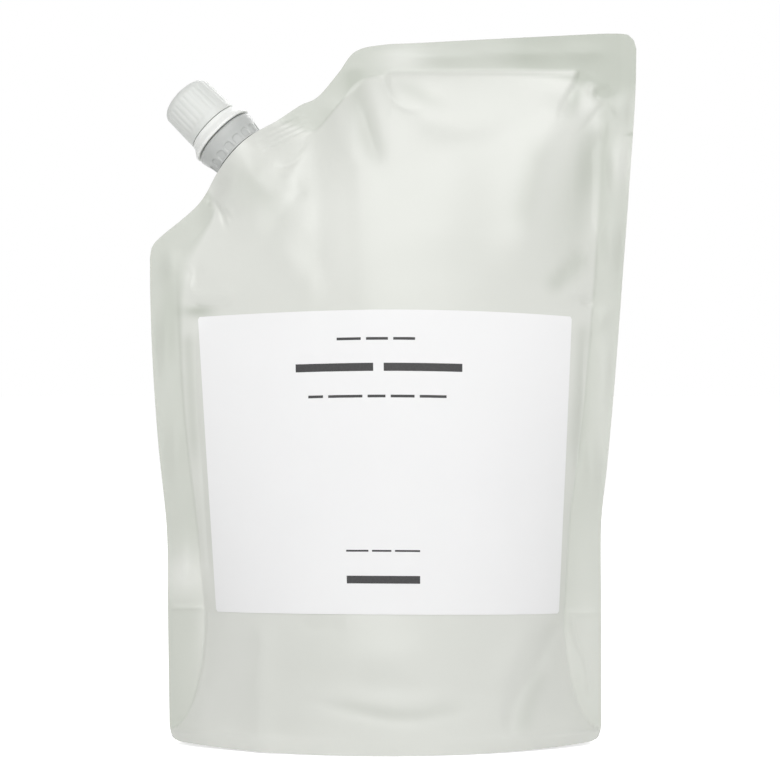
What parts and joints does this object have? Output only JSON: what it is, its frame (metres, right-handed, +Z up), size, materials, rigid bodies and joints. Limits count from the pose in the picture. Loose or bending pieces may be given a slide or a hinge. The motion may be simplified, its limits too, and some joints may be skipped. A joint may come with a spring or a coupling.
{
  "type": "hand soap refill pouch",
  "caption": "Stand-up refill pouch of pale film with a base gusset, a corner screw spout with ribbed cap, and a white paper label on the front.",
  "frame": {"origin": "on the floor under the middle of the pouch, on the flat patch of the base gusset that it rests on", "axes": "+Z up, +X to the right as the label is read, +Y to the rear, so the label faces -Y"},
  "size_m": [0.1887, 0.0745, 0.2741],
  "materials": {
    "film": "satin pale laminate film",
    "label_paper": "matt white paper",
    "grey_plastic": "satin pale grey",
    "ring_plastic": "satin white",
    "cap_plastic": "satin white",
    "seal_foam": "matt white foam"
  },
  "bodies": {
    "pack": {"pouch": "film", "front_label": "label_paper", "spout": "grey_plastic", "tamper_ring": "ring_plastic"},
    "seal": {"cap_seal": "seal_foam"},
    "screw_cap": {"cap": "cap_plastic"}
  },
  "joints": [
    {"name": "cap_lift", "type": "slide", "parent": "pack", "child": "seal", "axis": [-0.7004, 0.1379, 0.7004], "range_m": [0, 0.006]},
    {"name": "cap_turn", "type": "hinge", "parent": "seal", "child": "screw_cap", "pos_m": [-0.0588, 0.01218, 0.227], "axis": [-0.7004, 0.1379, 0.7004], "range_deg": [0, 720]}
  ],
  "couplings": [
    {"joint": "cap_lift", "follows": "cap_turn", "m_per_rad": 0.000477}
  ]
}
